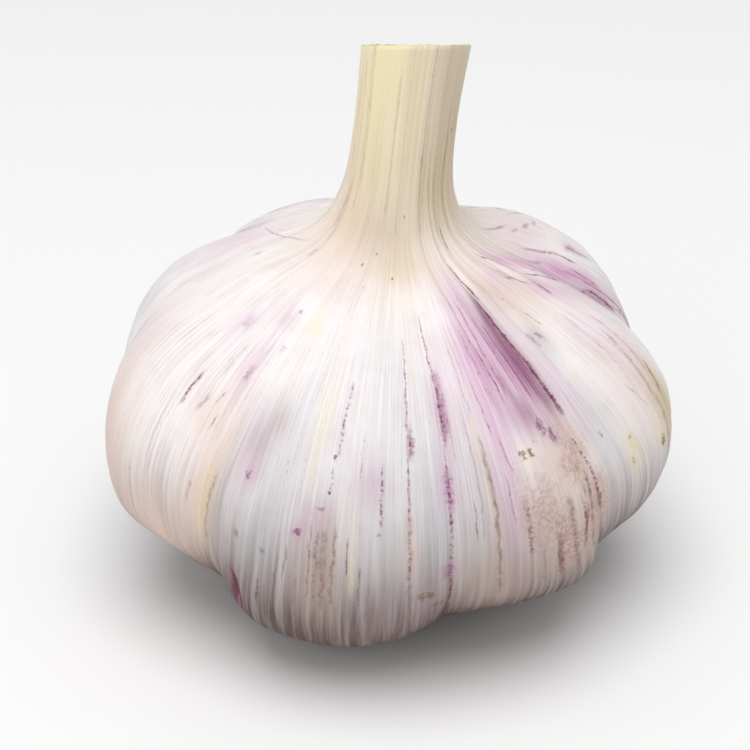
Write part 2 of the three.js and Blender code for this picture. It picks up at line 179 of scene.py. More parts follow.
# Fine streaks that follow the skins, by ink: turn, lowest and highest rise, half width in degrees,
# how broken up, strength, and drift in degrees a millimetre where the streak has one
STREAKS = {
    "dark": (
        (327.5, 76.2, 79.8, 1.2, 0.3, 0.8, 0.5), (320.8, 69.5, 76, 0.42, 0.15, 1, -0.3),
        (320.1, 61.5, 70.5, 0.65, 0.05, 1), (320.4, 54, 62.5, 0.55, 0.1, 1),
        (319.3, 41, 52, 0.45, 0.85, 0.85, -0.05), (316.3, 44, 50, 0.4, 0.95, 0.7),
        (281.2, 60, 69, 0.34, 0.5, 0.85, -0.14), (281.9, 53.5, 61, 0.42, 0.55, 0.85, 0.02),
        (281.4, 44, 54.5, 0.42, 0.75, 0.85, 0.03), (281.1, 38.5, 45, 0.45, 0.75, 0.8),
        (281.5, 26, 40, 0.5, 0.25, 0.95), (273.4, 52.8, 56, 0.35, 0.6, 0.7),
        (273, 46, 53.5, 0.22, 0.85, 0.7), (273.2, 56, 64, 0.2, 0.8, 0.6),
        (273.2, 39.5, 45.5, 0.3, 0.9, 0.6), (267.4, 46, 53, 0.3, 0.95, 0.55),
        (262.9, 50.5, 55.5, 0.28, 0.95, 0.5), (257.8, 52.5, 61, 0.28, 0.95, 0.65, 0.1),
        (257, 49.2, 52.3, 0.3, 0.95, 0.6), (246.7, 49.5, 52.7, 0.3, 0.95, 0.5),
        (238.3, 31, 38, 1.2, 0.1, 1, -0.32), (244.5, 34.3, 39.5, 0.3, 0.4, 0.8),
        (249.6, 39.3, 43.9, 0.25, 0.35, 0.7, 0.1), (261.4, 40.5, 45.6, 0.22, 0.3, 0.8),
        (300.6, 57, 72, 0.3, 0.45, 0.8, -0.1), (309.8, 63, 66.3, 0.35, 0.4, 0.75, -0.2),
        (306, 65.5, 71, 0.25, 0.7, 0.55), (293.8, 54, 60.5, 0.2, 0.3, 0.6, -0.1),
        (286.4, 43.5, 48.8, 0.2, 0.4, 0.6), (311.9, 38.5, 44.8, 0.7, 0.5, 0.95, 0.5),
        (304.2, 35.5, 43, 0.8, 0.5, 0.85), (297.6, 40.5, 48, 0.8, 0.9, 0.75),
        (18.9, 56, 62.4, 0.55, 0.1, 0.95), (349.2, 69.4, 75, 0.5, 0.2, 0.8, -1.3),
        (20.6, 49.5, 58, 0.4, 0.35, 0.8, -0.3), (1.5, 65.3, 69.9, 1.2, 0.1, 0.75, -4.6),
        (14.9, 61.4, 66, 0.8, 0.15, 0.8, -2), (27.1, 62.6, 66.4, 0.55, 0.3, 0.9),
        (23.2, 59.5, 64.6, 0.4, 0.4, 0.7, 0.3), (20.2, 51.4, 53.4, 0.6, 0.2, 0.9),
        (342.2, 69.2, 72.6, 0.5, 0.3, 0.75, -0.9), (345.6, 67.6, 71.2, 0.6, 0.3, 0.65, -1.9),
        (350.6, 65.8, 67.8, 0.7, 0.3, 0.75), (349.6, 49.4, 54.6, 0.55, 0.3, 0.8, 0.4),
        (340.4, 50, 54, 0.3, 0.4, 0.5, -0.6), (333.5, 63.5, 67, 0.35, 0.75, 0.6, -0.4),
        (330.5, 66.5, 70, 0.3, 0.8, 0.6, -0.3), (326, 69, 74, 0.35, 0.8, 0.5, -0.7),
        (217, 54.5, 57.8, 0.24, 0.55, 0.7, 0.12), (223.9, 55, 57, 0.22, 0.45, 0.65, 0.5),
        (225.1, 52.5, 54.3, 0.25, 0.45, 0.6, 0.3), (298, 85, 87.2, 1.6, 0.5, 0.65),
        (66, 50, 68, 0.55, 0.5, 0.75), (138.6, 46, 68, 0.6, 0.45, 0.8), (102, 48, 70, 0.5, 0.6, 0.6),
        (86, 36, 62, 0.35, 0.7, 0.7), (158, 34, 56, 0.35, 0.7, 0.7, 0.05),
        (47, 36, 60, 0.35, 0.75, 0.6),
    ),
    "purple": (
        (303.2, 57.5, 70, 0.7, 0.3, 0.6), (308, 58, 68, 0.6, 0.3, 0.6),
        (311.8, 56.8, 67, 0.8, 0.3, 0.65), (316.2, 56.5, 66, 0.9, 0.3, 0.6),
        (297.6, 57, 67, 0.6, 0.3, 0.45), (290, 56, 65, 0.4, 0.3, 0.35),
        (282.5, 54.5, 62.5, 1.3, 0.45, 0.75), (281.5, 47.3, 52.5, 1, 0.4, 0.75),
        (280.4, 39.3, 42, 1.5, 0.5, 0.6), (273.7, 52.6, 56.8, 0.8, 0.35, 0.85),
        (273.1, 46.5, 66.5, 0.42, 0.45, 0.55), (267.6, 46, 53, 0.45, 0.85, 0.5),
        (258.1, 52.5, 61, 0.55, 0.8, 0.45, 0.1), (294.5, 45, 50.8, 0.3, 0.3, 0.6),
        (296.2, 50, 54.5, 0.35, 0.3, 0.6, -0.25), (327.2, 61.8, 64.2, 0.9, 0.45, 0.7, -0.3),
        (346.5, 50, 60, 0.6, 0.4, 0.5, 0.3), (349.9, 52.5, 62, 0.5, 0.5, 0.45, 0.3),
        (342.6, 52, 64, 0.4, 0.5, 0.35, 0.2), (344, 68.5, 74, 0.9, 0.35, 0.5, -0.9),
        (350.4, 65.2, 68.8, 1.4, 0.4, 0.5), (10, 63.8, 69.8, 3.2, 0.25, 0.7, -4),
        (15, 67.8, 72.9, 0.9, 0.2, 0.75, -1.77), (21.6, 52, 65.5, 0.7, 0.25, 0.75),
        (352, 69.2, 75, 1, 0.3, 0.75, -1.9), (10, 65, 71.5, 1.6, 0.3, 0.6, -4.7),
        (24.4, 65.4, 71, 0.9, 0.3, 0.75, -1.25), (32, 62.4, 64.6, 1.3, 0.4, 0.7, -1.2),
        (3, 67.4, 70.4, 1, 0.4, 0.55, -3.6), (30, 71.2, 75.6, 1.2, 0.4, 0.6, -2.6),
        (31.3, 70.4, 71.6, 1.2, 0.4, 0.8, -2), (35.8, 68.4, 69.6, 1.2, 0.4, 0.8, -2),
        (38.6, 67, 68, 1.2, 0.4, 0.7, -2), (44, 66, 71, 0.9, 0.5, 0.35, -1),
        (51, 71.5, 74.8, 2, 0.6, 0.4), (217, 53.4, 58, 0.42, 0.35, 0.9, 0.12),
        (226.5, 58.2, 60.8, 0.7, 0.4, 0.6, 0.3), (230.2, 62.5, 64, 0.9, 0.5, 0.45),
        (217, 63.6, 65.4, 1.4, 0.6, 0.45), (225.1, 43.3, 47, 0.42, 0.4, 0.55, 0.1),
        (221.4, 58, 63, 0.4, 0.6, 0.3), (173, 69.5, 76, 1.3, 0.3, 0.55, 6.5),
        (186, 69.5, 71.2, 1.5, 0.5, 0.5), (208, 74.3, 75.8, 1.8, 0.7, 0.5),
        (238.5, 30, 38.8, 1.5, 0.3, 0.3, -0.3), (204, 78, 84, 3, 0.4, 0.4), (77, 44, 62, 0.7, 0.5, 0.6),
        (121, 50, 68, 0.8, 0.5, 0.6), (152, 42, 60, 0.7, 0.5, 0.6), (93, 50, 66, 0.9, 0.5, 0.5),
        (186.5, 44, 58, 0.5, 0.6, 0.4), (55, 48, 64, 0.7, 0.5, 0.45),
    ),
    "brown": (
        (273.1, 28, 48, 0.5, 0.4, 0.6), (290.8, 35, 55, 0.5, 0.25, 0.65),
        (283.7, 52, 58, 0.2, 0.3, 0.4), (287.9, 44, 57, 0.22, 0.3, 0.4),
        (263.7, 36.5, 42.6, 0.28, 0.4, 0.6), (257, 36, 46.3, 0.6, 0.5, 0.6),
        (258.8, 36.5, 46.6, 0.4, 0.4, 0.65), (255.6, 37, 46, 0.4, 0.6, 0.6),
        (254.2, 35, 46.8, 0.25, 0.4, 0.6), (252.2, 32, 41, 0.3, 0.4, 0.45),
        (247.9, 37, 43, 0.28, 0.4, 0.45, 0.1), (265.6, 32, 41, 0.25, 0.4, 0.45),
        (221.2, 53.5, 56.2, 0.5, 0.3, 0.5, 0.4), (229.5, 39, 49, 0.35, 0.4, 0.45, 0.1),
        (300.2, 35, 42, 0.5, 0.6, 0.5), (308.2, 35, 47, 0.8, 0.6, 0.8),
        (314.8, 37, 48, 0.8, 0.6, 0.75, 0.2), (346, 41, 51, 0.9, 0.4, 0.5),
        (32, 60, 64, 0.8, 0.5, 0.55), (340, 83.5, 89, 1.5, 0.3, 0.7, 1), (211, 36, 46, 0.4, 0.5, 0.35),
        (95, 34, 50, 0.6, 0.4, 0.5), (30, 32, 46, 0.6, 0.5, 0.4), (129, 34, 52, 0.6, 0.5, 0.5),
    ),
    "straw": (
        (262.4, 38, 48.3, 0.45, 0.3, 0.45), (252.9, 50, 60, 0.4, 0.3, 0.5, 0.05),
        (254.9, 53, 64, 0.3, 0.4, 0.4), (243.5, 53, 62, 0.4, 0.4, 0.4, 0.2),
        (228.3, 40, 50, 0.6, 0.3, 0.5, 0.1), (289.9, 46, 57, 0.35, 0.3, 0.5),
        (328.6, 56, 60, 0.5, 0.5, 0.6), (331.8, 46.8, 49.8, 1.2, 0.5, 0.9),
        (330.2, 44.2, 47, 0.9, 0.5, 0.8), (276, 58, 68, 0.4, 0.5, 0.35), (266, 60, 70, 0.4, 0.5, 0.3),
    ),
}

# Small marks with an edge: turn, rise, half widths in degrees and millimetres, strength
SPOTS = {
    "olive": (
        (300.2, 52, 0.9, 0.55, 0.95), (302.5, 52, 0.75, 0.5, 0.85), (342.5, 45, 1.2, 1.1, 0.8),
        (331.6, 48.6, 0.6, 0.5, 0.45), (330.2, 45.8, 0.4, 0.6, 0.4), (312, 43.4, 0.7, 1.6, 0.85),
        (319, 43.6, 0.5, 1.6, 0.6), (303.8, 39.2, 0.6, 1.5, 0.6), (238.4, 34.6, 0.9, 1.8, 0.5),
        (276.4, 37.6, 1.7, 0.8, 0.6), (279, 35.2, 1.3, 0.6, 0.5), (257, 49.6, 0.4, 0.22, 0.9),
        (268.5, 74, 0.8, 0.24, 1), (254, 77, 1, 0.2, 0.5), (245, 75.5, 0.9, 0.25, 0.65),
        (286, 30.5, 2.2, 0.8, 0.7), (299, 30.5, 2.6, 0.7, 0.7), (308, 31.5, 2.4, 0.6, 0.6),
        (350, 88.8, 1.5, 0.28, 0.8), (278, 81, 1, 0.3, 0.5),
    ),
    "plum": (
        (304.9, 55.8, 1.9, 1.2, 0.85), (309, 54.2, 1.5, 1, 0.75), (311.5, 53, 1.4, 0.9, 0.75),
        (306.2, 53, 0.7, 0.5, 0.6), (313.6, 46.2, 0.7, 0.8, 0.6), (257.1, 53, 0.5, 0.35, 0.8),
        (251.5, 45.2, 0.8, 0.5, 0.75), (237.6, 49.6, 0.9, 0.5, 0.75), (281.2, 46.6, 0.5, 0.35, 0.8),
        (275.4, 38.6, 1.6, 0.7, 0.5), (330, 63.2, 1, 0.7, 0.5), (47, 70, 1.8, 0.4, 0.6),
        (255.6, 47.9, 1, 0.22, 0.5), (110, 56, 1, 0.7, 0.6), (70, 46, 0.9, 0.6, 0.6),
    ),
    "grey": (
        (237.8, 42.8, 0.8, 0.45, 0.6), (238.6, 41.6, 0.5, 0.35, 0.55), (244.6, 42.2, 0.7, 0.4, 0.6),
        (244.5, 36.2, 0.8, 0.6, 0.8), (325.5, 50.6, 0.5, 0.45, 0.55), (228, 68, 0.7, 0.3, 0.5),
        (256.6, 42.2, 0.8, 0.7, 0.5), (297.5, 42, 0.4, 0.25, 0.9), (267, 45.6, 0.7, 0.25, 0.55),
        (250, 47.2, 0.6, 0.4, 0.45), (252, 72.4, 0.9, 0.25, 0.4), (148, 44, 0.8, 0.5, 0.6),
    ),
}
INKS = tuple(STREAKS)
SPOT_INKS = tuple(SPOTS)

# Marks are shared out over banks, each stored in layers of its own on the skins. How far round a
# mark is known at least, and the clear space between the marks of one bank, are in degrees
STREAK_BANKS = 6
SPOT_BANKS = 2
LEAST_REACH = 1.7
CLEAR_ROUND = 1.2

# Rows of the skins: where the foot ends and the neck starts on the side line, how many rows the
# foot has, and how much wider apart the rows of the neck are
FOOT_END = 2
FOOT_ROWS = 13
NECK_START = 9
NECK_SPACING = 2.2

# Places on the side line between which forms come in, and go again where four are given
HEIGHT_BANDS = ((1, 2.4, 3.6, 6), (3.2, 5.2, 6, 7.8), (5.6, 7.2, 7.7, 9.2))
VEINED = (1.6, 3, 9.6, 10.6)
BASE_SWING = (2.6, 5.4)
TOP_SWING = (4.6, 8)
SLOPE_START = 10

# The same by rise, in millimetres
FINE_CHANGE = (40, 60)
GATHERED = (64, 74, 82, 88)
NECK_FOLDS = (80, 86)

# Vertices nearer than this, in metres, are joined. Faces inside this share of the rim are the cut
MERGE_DISTANCE = 2e-6
CUT_EDGE = 0.99

# Faint streaks drawn by chance: how many, the odds of each ink, and the ranges of their values
FAINT_STREAKS = 180
LOBE_STARTS = (27, 62)
LOBE_LENGTHS = (5, 22)
LOBE_TOP = 76
LOBE_DRIFT = 0.04
LOBE_INK_ODDS = (0.03, 0.32, 0.4, 0.25)
LOBE_RANGES = ((0.12, 0.28), (0.2, 0.9), (0.06, 0.24))
NECK_INK_ODDS = (0.05, 0.1, 0.5, 0.35)
NECK_RANGES = ((0, 360), (76, 86), (90, 105), (0.8, 2.6), (0, 0.2), (0.1, 0.3))

# How many ribs stand round the bulb, by what they make
FINE_RIBS = 190
VEIN_RIBS = 96
BROAD_RIBS = 31
FOLD_RIBS = 44
NECK_RIBS = 84
NECK_LOBES = 13

# Root plate as radius and height in millimetres, from the middle of its flat to the middle of its top
PLATE_LINE = (
    (0, 0), (2.2, 0), (4.4, 0), (6.2, 0), (6.9, 0.12), (7.35, 0.5), (7.5, 0.95), (7.4, 1.4),
    (7.1, 1.75), (6.5, 1.98), (4.5, 2.02), (2.2, 2.02), (0, 2.02),
)
PLATE_STEPS = 96
RIM_WAVES = 34
RIM_RADIUS = 7
RIM_WAVE = 0.018

# Ranges of a trimmed root: its length as a share, its turn in radians, the rest in millimetres
ROOT_LENGTHS = (0.9, 1.3)
ROOT_TURN = (-0.05, 0.05)
ROOT_RADIUS = (0.28, 0.42)
ROOT_START = (5.4, 6.2)
ROOT_HEIGHT = (0.62, 1.45)
ROOT_BEND = (-0.5, 0.5)
ROOT_DIP = (-0.15, 0.2)
ROOT_TAPER = 0.7
ROOT_FLOOR = 0.04

# Stage: what the camera looks at and its sensor in millimetres, the lit point and the floor in metres
CAMERA_TARGET = (-1.75, 0.0, 23.6)
SENSOR_WIDTH = 36
LIT_POINT = (0, 0, 0.028)
FLOOR_RADIUS = 3


def linear(red, green, blue):
    """A colour as a screen shows it, 0 to 255, in the linear light that shaders use."""
    parts = [part / 255 for part in (red, green, blue)]
    return tuple(
        part / 12.92 if part <= 0.04045 else ((part + 0.055) / 1.055) ** 2.4
        for part in parts
    )


def smooth(low, high, value):
    """Eases from 0 at low to 1 at high."""
    share = np.clip((value - low) / (high - low), 0, 1)
    return share * share * (3 - 2 * share)


def band(start, full, fading, gone, value):
    """Eases from 0 to 1 between start and full, and back to 0 between fading and gone."""
    return smooth(start, full, value) * (1 - smooth(fading, gone, value))


def between(low, high, fade, value):
    """1 between low and high, eased to 0 at both ends over the fade."""
    return band(low, low + fade, high - fade, high, value)


def wrapped(degrees):
    return (degrees + 180) % 360 - 180


def spline(points, place):
    """Points of a smooth line at these places, counted in its own points."""
    last = len(points) - 1
    index = np.minimum(np.floor(place).astype(int), last - 1)
    share = (place - index)[:, None]
    before = points[np.maximum(index - 1, 0)]
    here = points[index]
    after = points[index + 1]
    beyond = points[np.minimum(index + 2, last)]
    leaving = (after - before) / 2
    coming = (beyond - here) / 2
    cubic = 2 * here - 2 * after + leaving + coming
    square = -3 * here + 3 * after - 2 * leaving - coming
    return cubic * share**3 + square * share**2 + leaving * share + here


def side_normals(place):
    """Outward direction of the side line at these places."""
    step = 1e-3
    ahead = spline(SIDE_LINE, np.clip(place + step, 0, LAST_PLACE))
    behind = spline(SIDE_LINE, np.clip(place - step, 0, LAST_PLACE))
    along = ahead - behind
    along /= np.linalg.norm(along, axis=1, keepdims=True)
    return np.stack([along[:, 1], -along[:, 0]], axis=1)


def rises(place):
    """Distance along the side line from the foot to these places."""
    fine = np.linspace(0, LAST_PLACE, 2401)
    steps = np.linalg.norm(np.diff(spline(SIDE_LINE, fine), axis=0), axis=1)
    return np.interp(place, fine, np.concatenate([[0], np.cumsum(steps)]))


def height_shares(place):
    """How much of the low, middle and high figure of a clove counts at these places."""
    return np.stack([band(*ends, place) for ends in HEIGHT_BANDS], axis=1)


def clove_reach(clove, share, turn, place):
    """How far the cloves push the skins out from the side line, creases and lumps included."""
    count = len(CLOVES)
    depth, swell, soft = (
        np.array([getattr(c, figure) for c in CLOVES]) for figure in ("depth", "swell", "soft")
    )
    first_half = share < 0.5
    near = np.where(first_half, clove, (clove + 1) % count)
    neighbour = np.where(first_half, (clove - 1) % count, (clove + 1) % count)
    heights = height_shares(place)
    edge = np.abs(2 * share - 1)
    sharp = edge**2.2
    rounded = edge * edge * (3 - 2 * edge)
    floor = sharp + (rounded - sharp) * soft[near]
    crease = (depth[near] * heights).sum(axis=1) * floor
    own = (swell[clove] * heights).sum(axis=1)
    other = (swell[neighbour] * heights).sum(axis=1)
    reach = own + (other - own) * 0.5 * edge**2 - crease
    for middle, height, half_round, half_along, out in LUMPS:
        away = wrapped(turn - middle) / half_round
        reach += out * np.exp(-(away**2) - ((place - height) / half_along) ** 2)
    return reach


def swung(clove, share, turn, place):
    """Turn of a column once the creases have swung at the base and at the shoulder."""
    base = np.array([c.base for c in CLOVES])
    top = np.array([c.top for c in CLOVES])
    following = (clove + 1) % len(CLOVES)
    at_base = base[clove] + (base[following] - base[clove]) * share
    at_top = top[clove] + (top[following] - top[clove]) * share
    return turn + at_base * (1 - smooth(*BASE_SWING, place)) + at_top * smooth(*TOP_SWING, place)


def ribbing(turn, count, seed):
    """Uneven ribs round the bulb, from -1 to 1, which meet where the circle closes."""
    heights = np.random.default_rng(seed).uniform(-1, 1, count)
    at = (turn % 360) / 360 * count
    index = np.floor(at).astype(int) % count
    share = at - np.floor(at)
    share = share * share * (3 - 2 * share)
    return heights[index] * (1 - share) + heights[(index + 1) % count] * share


def skin_relief(turn, place, rise, form):
    """Veins, folds and tucks of the papery skins, in millimetres outwards."""
    on_cloves = band(*VEINED, place)
    higher = smooth(*FINE_CHANGE, rise)
    fine = ribbing(turn, FINE_RIBS, seed=3) * (1 - higher) + ribbing(turn, FINE_RIBS, seed=4) * higher
    raised = 1 - np.abs(ribbing(turn, VEIN_RIBS, seed=5))
    relief = form.vein_height * on_cloves * (0.55 * fine + 0.9 * raised**3)
    broad = ribbing(turn, BROAD_RIBS, seed=6) * np.sin(rise / 6.1 + 2 * ribbing(turn, 9, seed=7))
    relief += form.unevenness * on_cloves * broad
    gathered = band(*GATHERED, rise)
    folds = ribbing(turn + 0.35 * (rise - GATHERED[1]), FOLD_RIBS, seed=8)
    fullness = 0.5 + 0.5 * ribbing(turn, 7, seed=9)
    relief += form.fold_height * gathered * (0.45 - np.abs(folds)) * fullness
    on_neck = smooth(*NECK_FOLDS, rise)
    ripples = 0.05 * ribbing(turn, NECK_RIBS, seed=10)
    hollows = 0.12 * ribbing(turn, NECK_LOBES, seed=11)
    relief += on_neck * (ripples + hollows)
    for middle, drift, low, high, width, depth in GROOVES:
        away = wrapped(turn - middle - drift * (rise - (low + high) / 2)) / width
        relief -= depth * between(low, high, 3, rise) * np.exp(-(away**2))
    return relief


def zone_strength(patches, turn, rise):
    """How strongly a zone of colour shows, from its soft patches."""
    clear = np.ones_like(turn)
    for middle, height, half_round, half_along, strength in patches:
        away = wrapped(turn - middle) / half_round
        clear *= 1 - strength * np.exp(-(away**2) - ((rise - height) / half_along) ** 2)
    return 1 - clear


def drawn_streaks():
    """Faint fine streaks all round, drawn by chance from a fixed seed, as (ink, streak) pairs."""
    draw = np.random.default_rng(31)
    made = []
    for _ in range(FAINT_STREAKS):
        low = draw.uniform(*LOBE_STARTS)
        ink = INKS[draw.choice(4, p=LOBE_INK_ODDS)]
        turn = draw.uniform(0, 360)
        drift = draw.normal(0, LOBE_DRIFT)
        high = min(low + draw.uniform(*LOBE_LENGTHS), LOBE_TOP)
        others = [draw.uniform(*ends) for ends in LOBE_RANGES]
        made.append((ink, Streak(turn, low, high, *others, drift)))
    for _ in range(FAINT_STREAKS // 3):
        ink = INKS[draw.choice(4, p=NECK_INK_ODDS)]
        made.append((ink, Streak(*[draw.uniform(*ends) for ends in NECK_RANGES])))
    return made


def reach_round(width):
    """How far round, in degrees, the vertices have to know of a mark of this half width."""
    return max(3 * width, LEAST_REACH)


def clashing(one, other):
    apart = abs(wrapped(one.turn - other.turn))
    swing = sum(abs(streak.drift) * (streak.high - streak.low) / 2 for streak in (one, other))
    beside = apart < reach_round(one.width) + reach_round(other.width) + swing + CLEAR_ROUND
    return beside and one.low < other.high + 2.5 and other.low < one.high + 2.5


def clashing_spots(one, other):
    apart = abs(wrapped(one.turn - other.turn))
    beside = apart < reach_round(one.round) + reach_round(other.round) + CLEAR_ROUND
    return beside and abs(one.rise - other.rise) < 3 * (one.along + other.along) + 1.5


def in_banks(marks, clash, most):
    """Shares marks out over banks in which none lies close to another. Late ones may be left out."""
    banks = []
    for ink, mark in marks:
        for bank in banks:
            if not any(clash(mark, other) for _, other in bank):
                bank.append((ink, mark))
                break
        else:
            if len(banks) < most:
                banks.append([(ink, mark)])
    return banks


def streak_layers(bank, turn, rise):
    """Signed distance to the nearest streak in half widths, its brokenness, and its inks' strengths."""
    nearest = np.full(len(turn), 1e6)
    line = np.zeros((len(turn), 3))
    line[:, 0] = 99
    inks = np.zeros((len(turn), 3))
    for index, (ink, streak) in enumerate(bank):
        middle = (streak.low + streak.high) / 2
        active = np.nonzero((rise > streak.low - 1) & (rise < streak.high + 1))[0]
        here = rise[active]
        sway = min(0.35, streak.width) * 0.8 * ribbing(here * 9.0 + 37 * index, 60, seed=40)
        away = wrapped(turn[active] - streak.turn - streak.drift * (here - middle) - sway)
        closer = np.abs(away) < nearest[active]
        active, here, away = active[closer], here[closer], away[closer]
        nearest[active] = np.abs(away)
        uneven = 1 + 0.35 * ribbing(here * 14.0 + 53 * index, 90, seed=41)
        ends = between(streak.low, streak.high, min(1.2, 0.3 * (streak.high - streak.low)), here)
        strength = streak.strength * ends * (0.86 + 0.3 * ribbing(here * 21.0 + 71 * index, 80, seed=42))
        strength = np.where(np.abs(away) < reach_round(streak.width), np.clip(strength, 0, 1), 0)
        line[active, 0] = away / (streak.width * uneven)
        line[active, 1] = streak.broken
        line[active, 2] = strength if ink == "straw" else 0
        for channel, name in enumerate(INKS[:3]):
            inks[active, channel] = strength if ink == name else 0
    return line, inks


def spot_layers(bank, turn, rise):
    """Place within the nearest spot, in its half widths, and its inks' strengths."""
    nearest = np.full(len(turn), 1e6)
    place = np.full((len(turn), 3), 9.0)
    inks = np.zeros((len(turn), 3))
    for ink, spot in bank:
        away = wrapped(turn - spot.turn)
        above = rise - spot.rise
        distance = np.hypot(away * 0.5, above)
        closer = np.nonzero(distance < nearest)[0]
        nearest[closer] = distance[closer]
        place[closer, 0] = away[closer] / spot.round
        place[closer, 1] = above[closer] / spot.along
        near = (np.abs(away) < reach_round(spot.round)) & (np.abs(above) < 3 * spot.along + 0.6)
        for channel, name in enumerate(SPOT_INKS):
            inks[closer, channel] = np.where(near[closer], spot.strength, 0) if ink == name else 0
    place[:, 2] = 0
    return place, inks


def named_marks(kind, lists):
    """Rows of values, listed by ink, as (ink, mark) pairs."""
    return [(ink, kind(*values)) for ink, rows in lists.items() for values in rows]


def mark_layers(turn, rise):
    """What each vertex knows of the streaks and spots near it, by the name of its layer."""
    layers = {}
    streaks = named_marks(Streak, STREAKS) + drawn_streaks()
    for number, bank in enumerate(in_banks(streaks, clashing, STREAK_BANKS)):
        layers[f"line_{number}"], layers[f"ink_{number}"] = streak_layers(bank, turn, rise)
    for number, bank in enumerate(in_banks(named_marks(Spot, SPOTS), clashing_spots, SPOT_BANKS)):
        layers[f"spot_{number}"], layers[f"spot_ink_{number}"] = spot_layers(bank, turn, rise)
    return layers


def store(mesh, name, values):
    """Keeps numbers or vectors on a mesh's vertices for its materials."""
    kind, field = ("FLOAT", "value") if values.ndim == 1 else ("FLOAT_VECTOR", "vector")
    attribute = mesh.attributes.new(name, kind, "POINT")
    attribute.data.foreach_set(field, np.ascontiguousarray(values, np.float32).ravel())


def skin_rows(form):
    """Places of the rows along the side line, and then the steps of the cut end."""
    spacing = form.row_spacing
    foot = np.concatenate([[0], np.linspace(0.5, FOOT_END, FOOT_ROWS)])
    clove_rows = int(round((NECK_START - FOOT_END) / spacing))
    cloves = np.linspace(FOOT_END, NECK_START, clove_rows + 1)[1:]
    neck_rows = int(round((LAST_PLACE - NECK_START) / (NECK_SPACING * spacing)))
    neck = np.linspace(NECK_START, LAST_PLACE, neck_rows + 1)[1:]
    places = np.concatenate([foot, cloves, neck])
    steps = np.array(CUT_STEPS)
    place = np.concatenate([places, np.full(len(steps), float(LAST_PLACE))])
    share = np.concatenate([np.full(len(places), 1.0), steps[:, 0]])
    drop = np.concatenate([np.zeros(len(places)), steps[:, 1]])
    return place, share, drop


def spun_line(points, steps):
    """A line of vertices through these points, spun round Z."""
    sheet = bmesh.new()
    line = [sheet.verts.new(point) for point in points]
    edges = [sheet.edges.new(pair) for pair in zip(line, line[1:])]
    bmesh.ops.spin(
        sheet,
        geom=line + edges,
        cent=(0, 0, 0),
        axis=(0, 0, 1),
        angle=2 * math.pi,
        steps=steps,
        use_merge=True,
    )
    return sheet


def shape_skins(sheet, form, columns):
    """Moves a sheet, whose heights are row numbers, onto the grown surface, and returns its layers."""
    row_place, row_share, row_drop = skin_rows(form)
    spun = np.array([v.co for v in sheet.verts])
    row = np.rint(spun[:, 2]).astype(int)
    column = np.rint(np.arctan2(spun[:, 1], spun[:, 0]) / (2 * math.pi) * columns).astype(int) % columns
    per_clove = columns // len(CLOVES)
    clove = column // per_clove
    share = (column % per_clove) / per_clove
    starts = np.array([c.turn for c in CLOVES], float)
    spans = (np.roll(starts, -1) - starts) % 360
    turn = starts[clove] + spans[clove] * share
    place = row_place[row]
    rise = rises(place)
    cut_share = row_share[row]
    on_side = cut_share == 1.0
    base = spline(SIDE_LINE, place)
    outward = side_normals(place)
    reach = clove_reach(clove, share, turn, place) + skin_relief(turn, place, rise, form)
    reach *= np.minimum(row, 1)
    radius = base[:, 0] + reach * outward[:, 0]
    height = base[:, 1] + reach * outward[:, 1]
    ragged = 0.05 * ribbing(turn, 70, seed=12) + 0.04 * ribbing(turn, 23, seed=13)
    height += ragged * smooth(LAST_PLACE - 0.15, LAST_PLACE, place) * smooth(0.3, 0.9, cut_share)
    height = np.where(on_side, height, height - row_drop[row])
    radius = np.where(on_side, radius, radius * cut_share)
    angle = np.radians(swung(clove, share, turn, place))
    lean = LEAN_RATE * np.maximum(height - LEAN_START, 0) ** LEAN_POWER
    x = radius * np.cos(angle) + lean
    y = radius * np.sin(angle)
    z = height - CUT_SLOPE * y * smooth(SLOPE_START, LAST_PLACE, place)
    for vertex, point in zip(sheet.verts, np.stack([x, y, z], axis=1) * MM):
        vertex.co = point
    return turn, rise, cut_share


def close_up(shape):
    """Joins doubled vertices, and turns all faces outwards."""
    bmesh.ops.remove_doubles(shape, verts=shape.verts, dist=MERGE_DISTANCE)
    bmesh.ops.recalc_face_normals(shape, faces=shape.faces)


def mesh_of(shape, name):
    """The shape as a mesh. The shape itself is freed."""
    mesh = bpy.data.meshes.new(name)
    shape.to_mesh(mesh)
    shape.free()
    return mesh


def placed(name, data):
    """A new object at the origin, in the scene."""
    thing = bpy.data.objects.new(name, data)
    bpy.context.scene.collection.objects.link(thing)
    return thing


def finished_piece(name, mesh, node, materials):
    """Puts a finished mesh into the scene in place of its solid."""
    for polygon in mesh.polygons:
        polygon.use_smooth = True
    for material in materials:
        mesh.materials.append(material)
    piece = placed(name, mesh)
    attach(piece, "root")
    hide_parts(node)


